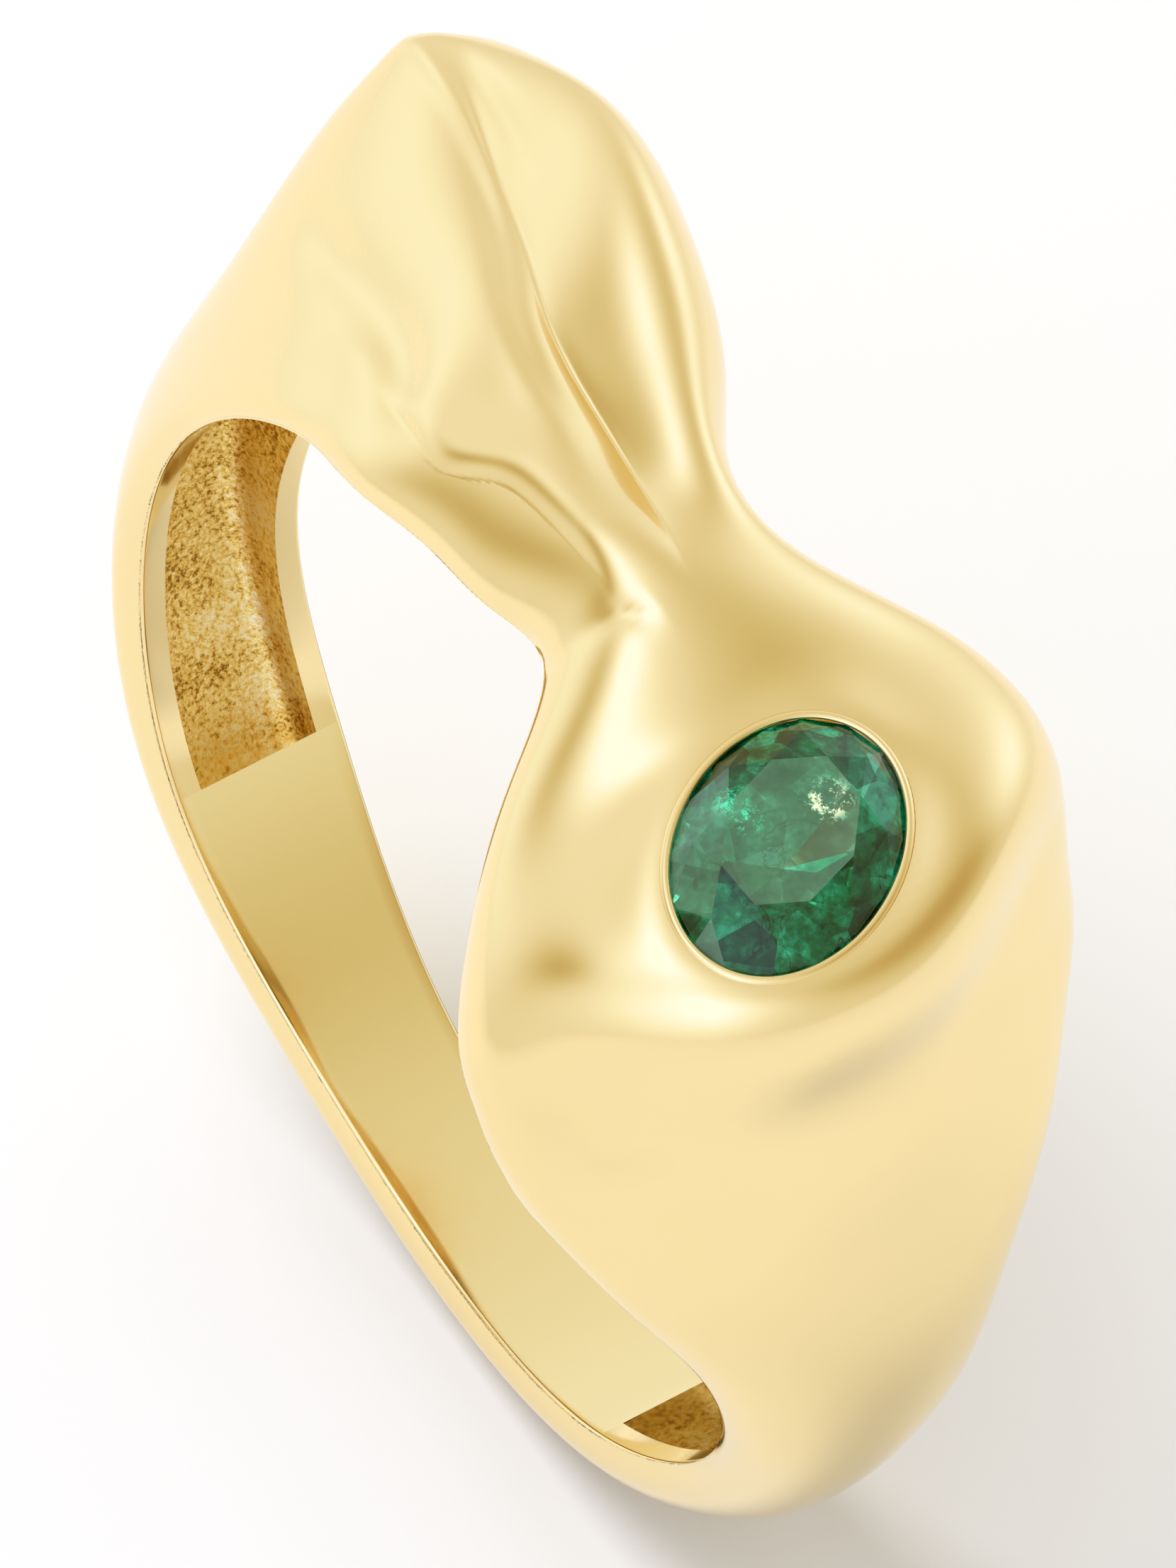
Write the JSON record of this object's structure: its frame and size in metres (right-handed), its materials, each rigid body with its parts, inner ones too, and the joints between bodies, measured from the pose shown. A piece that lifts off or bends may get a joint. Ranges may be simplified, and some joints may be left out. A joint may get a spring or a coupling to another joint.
{
  "type": "cocktail ring",
  "caption": "Freeform draped gold ring with a hollow two-lobed head, a slim solid shank and an oval stone set flush in one lobe.",
  "frame": {"origin": "centre of the finger hole, halfway across the narrowest part of the shank", "axes": "+Y along the finger's axis, away from the rim where the stone's lobe overhangs; +Z from the shank up through the middle of the head; +X toward the stone's lobe"},
  "size_m": [0.0203, 0.0103, 0.0205],
  "materials": {
    "gold": "mirror polished pale yellow gold, rough as cast inside the head",
    "gem": "faceted transparent green gemstone with natural inclusions"
  },
  "bodies": {
    "root": {"head_shell": "gold", "shank": "gold", "stone_collet": "gold", "emerald": "gem"}
  },
  "joints": []
}
